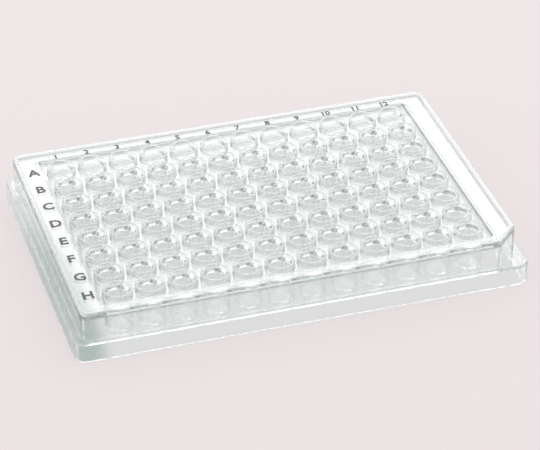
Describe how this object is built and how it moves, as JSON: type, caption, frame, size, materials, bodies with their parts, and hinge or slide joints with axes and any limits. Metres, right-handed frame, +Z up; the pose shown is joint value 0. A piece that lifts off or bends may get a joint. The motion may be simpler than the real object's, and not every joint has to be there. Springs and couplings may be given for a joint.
{
  "type": "96-well plate",
  "caption": "Clear moulded laboratory plate with a grid of small round flat-bottomed wells, a raised rim, a lid ledge and a hollow base.",
  "frame": {"origin": "centre of the footprint, on the table", "axes": "+X along the plate from column 1 to column 12, +Y across it from row H to row A, +Z up out of the wells"},
  "size_m": [0.1278, 0.0854, 0.0143],
  "materials": {
    "clear_polystyrene": "clear moulded polystyrene, glossy, with a faint cool green-grey tint where the wall is seen edge on"
  },
  "bodies": {
    "root": {"well_plate": "clear_polystyrene"}
  },
  "joints": []
}
